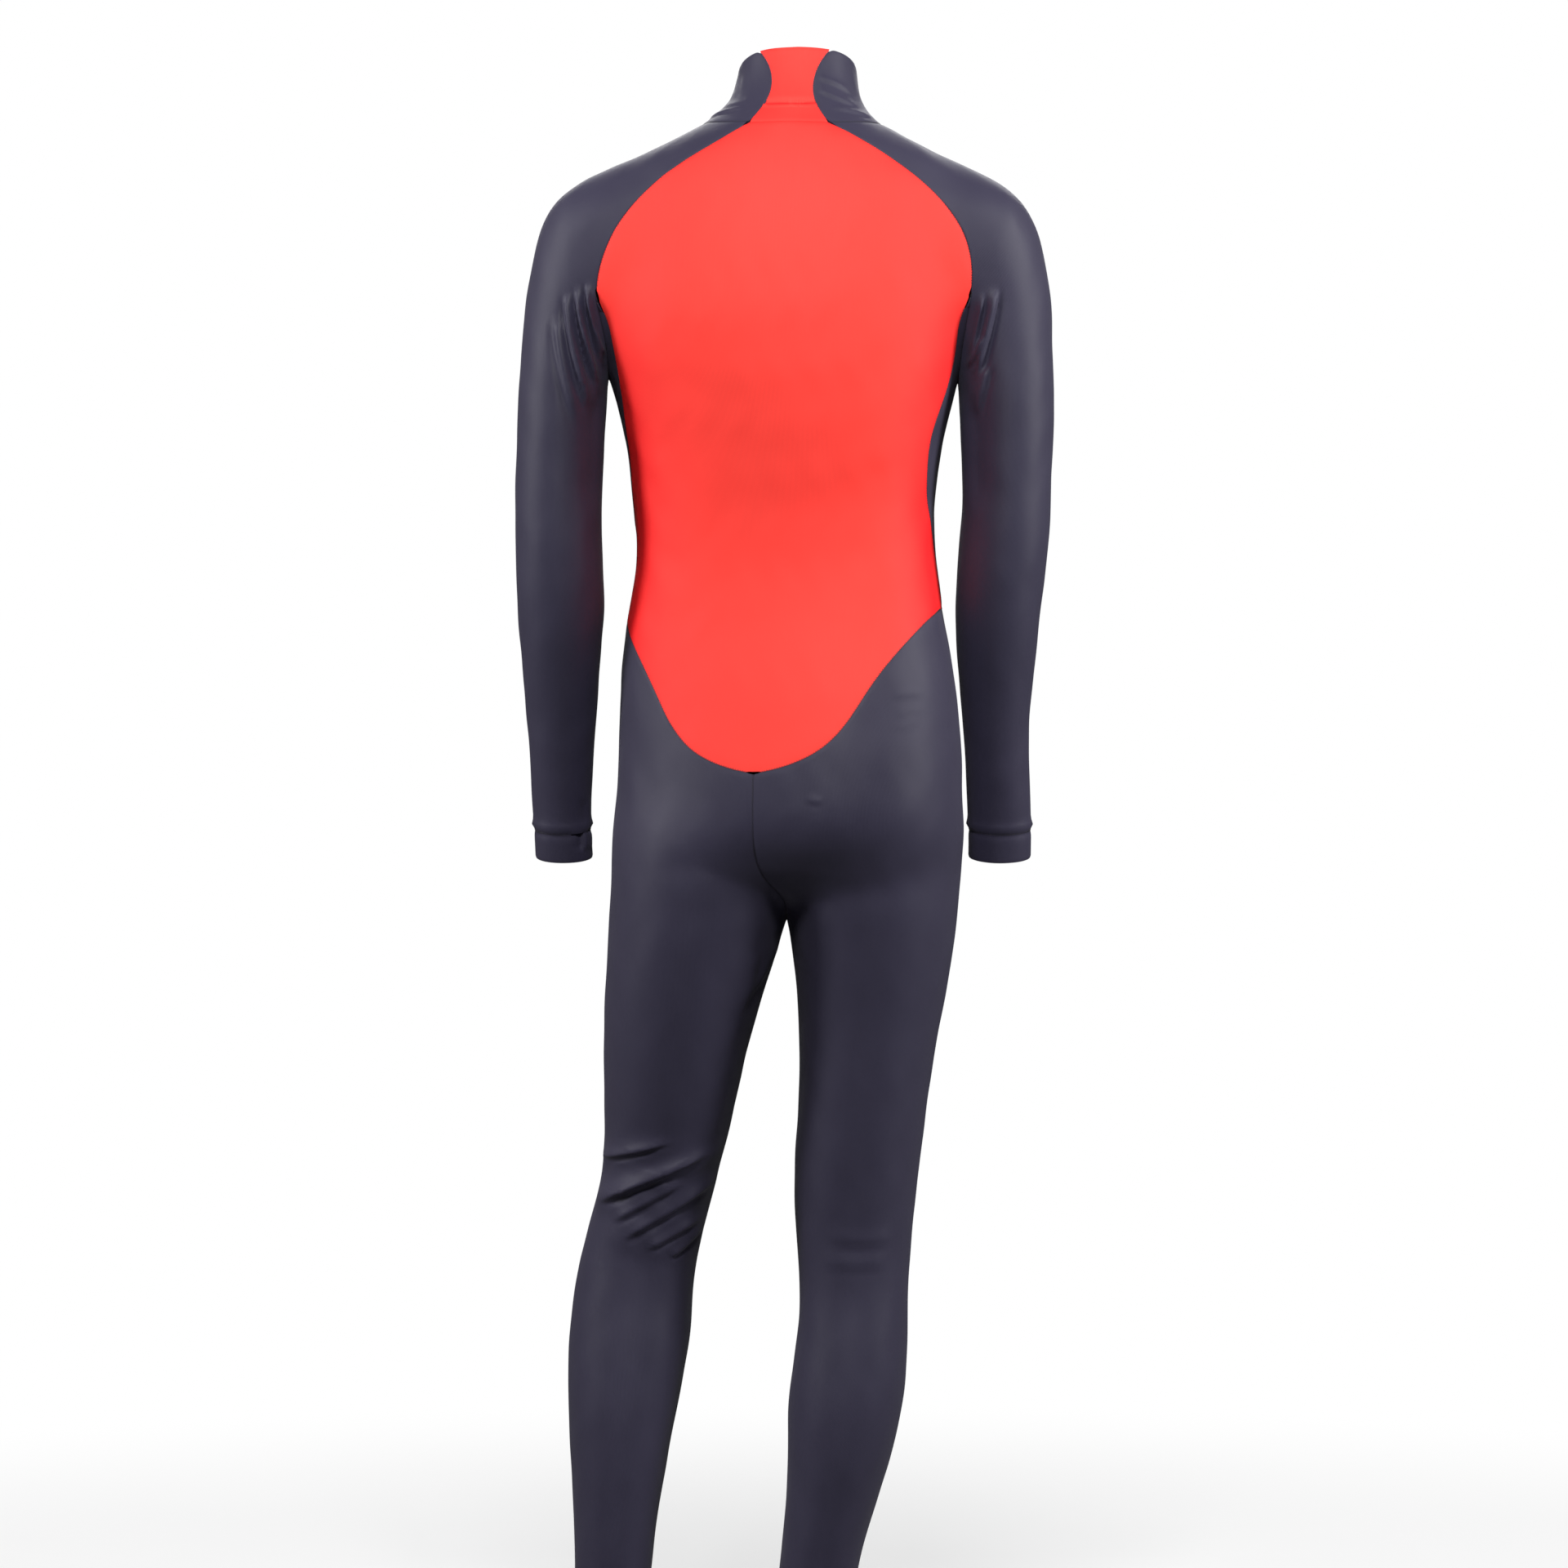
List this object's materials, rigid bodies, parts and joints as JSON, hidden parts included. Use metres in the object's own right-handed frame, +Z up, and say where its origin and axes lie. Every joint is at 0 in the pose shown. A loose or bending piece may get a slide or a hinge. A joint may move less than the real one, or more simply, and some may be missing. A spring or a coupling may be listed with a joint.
{
  "type": "speed skating suit",
  "caption": "Close one-piece suit of stretch jersey with raglan sleeves, stand collar, long legs and a front zip with a hinged pull tab, hollow as if worn standing.",
  "frame": {"origin": "middle of the neck at the height of the collar seam, where the wearer's shoulders carry the suit", "axes": "+Z up, +Y towards the wearer's back, +X towards the wearer's left"},
  "size_m": [0.5022, 0.2528, 1.545],
  "materials": {
    "red_jersey": "smooth semi-matte stretch knit",
    "grey_jersey": "smooth semi-matte stretch knit with a soft sheen",
    "zip_tape": "woven tape",
    "dark_metal": "dark satin"
  },
  "bodies": {
    "suit": {"back": "red_jersey", "collar_back": "red_jersey", "collar_left": "grey_jersey", "collar_right": "grey_jersey", "front_left": "grey_jersey", "front_right": "grey_jersey", "sleeve_left": "grey_jersey", "sleeve_right": "grey_jersey", "cuff_left": "grey_jersey", "cuff_right": "grey_jersey", "leg_left": "grey_jersey", "leg_right": "grey_jersey", "zip_tape_left": "zip_tape", "zip_tape_right": "zip_tape", "zip_slider": "dark_metal"},
    "zip_pull": {"zip_pull": "dark_metal"}
  },
  "joints": [
    {"name": "zip_pull_swing", "type": "hinge", "parent": "suit", "child": "zip_pull", "pos_m": [-0.00852, -0.0802, 0.02032], "axis": [-1, 0, 0], "range_deg": [-5, 150]}
  ]
}
